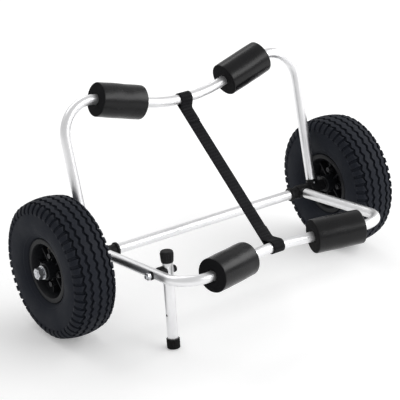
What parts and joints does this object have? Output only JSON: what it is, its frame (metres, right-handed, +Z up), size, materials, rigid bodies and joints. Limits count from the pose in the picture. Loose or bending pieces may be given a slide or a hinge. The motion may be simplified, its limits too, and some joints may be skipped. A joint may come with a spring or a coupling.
{
  "type": "kayak cart",
  "caption": "Folding kayak cart: bent tube frames with foam pads and a strap between them, a through axle with pneumatic wheels, and a swing-down stand.",
  "frame": {"origin": "middle of the footprint, on the ground", "axes": "+X along the axle towards the wheel without the stand, +Y towards the side the tall back frame leans to, so the low front frame reaches towards -Y, +Z up"},
  "size_m": [0.7512, 0.4102, 0.4285],
  "materials": {
    "frame_tube": "bright drawn tube",
    "axle_sleeve_tube": "bright drawn tube",
    "stand_tube": "bright drawn tube",
    "zinc_steel": "zinc plated",
    "moulded_plastic": "black, fine moulded grain",
    "rim_plastic": "black, satin moulded",
    "foot_rubber": "black, matte",
    "tyre_rubber": "dark blue-black, matte",
    "inner_tube_rubber": "black",
    "pad_foam": "charcoal closed-cell foam, satin skin",
    "strap_webbing": "black woven webbing",
    "valve_brass": "plain"
  },
  "bodies": {
    "front_frame": {"front_frame_tube": "frame_tube", "axle_tube": "axle_sleeve_tube", "axle_rod": "zinc_steel", "front_leg_plug_left": "moulded_plastic", "front_leg_plug_right": "moulded_plastic", "axle_collar_left": "moulded_plastic", "axle_collar_right": "moulded_plastic", "axle_spacer_left": "moulded_plastic", "axle_spacer_right": "moulded_plastic", "wheel_spacer_left": "moulded_plastic", "wheel_spacer_right": "moulded_plastic", "wheel_washer_left": "zinc_steel", "wheel_washer_right": "zinc_steel", "wheel_nut_left": "zinc_steel", "wheel_nut_right": "zinc_steel", "front_pad_left": "pad_foam", "front_pad_right": "pad_foam", "strap_loop_front": "strap_webbing", "strap_band": "strap_webbing", "stand_leg_saddle": "moulded_plastic", "stand_outer_saddle": "moulded_plastic", "stand_nut": "zinc_steel", "stand_bolt": "zinc_steel", "stand_bolt_cap": "moulded_plastic"},
    "back_frame": {"back_frame_tube": "frame_tube", "back_leg_eye_left": "moulded_plastic", "back_leg_eye_right": "moulded_plastic", "back_pad_left": "pad_foam", "back_pad_right": "pad_foam", "strap_loop_back": "strap_webbing"},
    "stand": {"stand_tube": "stand_tube", "stand_foot": "foot_rubber", "stand_top_cap": "moulded_plastic", "stand_tube_saddle": "moulded_plastic"},
    "left_wheel": {"tyre_left": "tyre_rubber", "inner_tube_left": "inner_tube_rubber", "rim_outer_left": "rim_plastic", "rim_inner_left": "rim_plastic", "wheel_bush_outer_left": "moulded_plastic", "wheel_bush_inner_left": "moulded_plastic", "valve_stem_left": "valve_brass"},
    "right_wheel": {"tyre_right": "tyre_rubber", "inner_tube_right": "inner_tube_rubber", "rim_outer_right": "rim_plastic", "rim_inner_right": "rim_plastic", "wheel_bush_outer_right": "moulded_plastic", "wheel_bush_inner_right": "moulded_plastic", "valve_stem_right": "valve_brass"}
  },
  "joints": [
    {"name": "back_frame_fold", "type": "hinge", "parent": "front_frame", "child": "back_frame", "pos_m": [0, 0.07509, 0.13], "axis": [1, 0, 0], "range_deg": [0, 82], "deforming": ["strap_band"]},
    {"name": "stand_swing", "type": "hinge", "parent": "front_frame", "child": "stand", "pos_m": [-0.20353, -0.09136, 0.14876], "axis": [1, 0, 0], "range_deg": [0, 87.5]},
    {"name": "left_wheel_spin", "type": "hinge", "parent": "front_frame", "child": "left_wheel", "pos_m": [-0.3222, 0.07509, 0.13], "axis": [1, 0, 0], "continuous": true},
    {"name": "right_wheel_spin", "type": "hinge", "parent": "front_frame", "child": "right_wheel", "pos_m": [0.3222, 0.07509, 0.13], "axis": [1, 0, 0], "continuous": true}
  ]
}
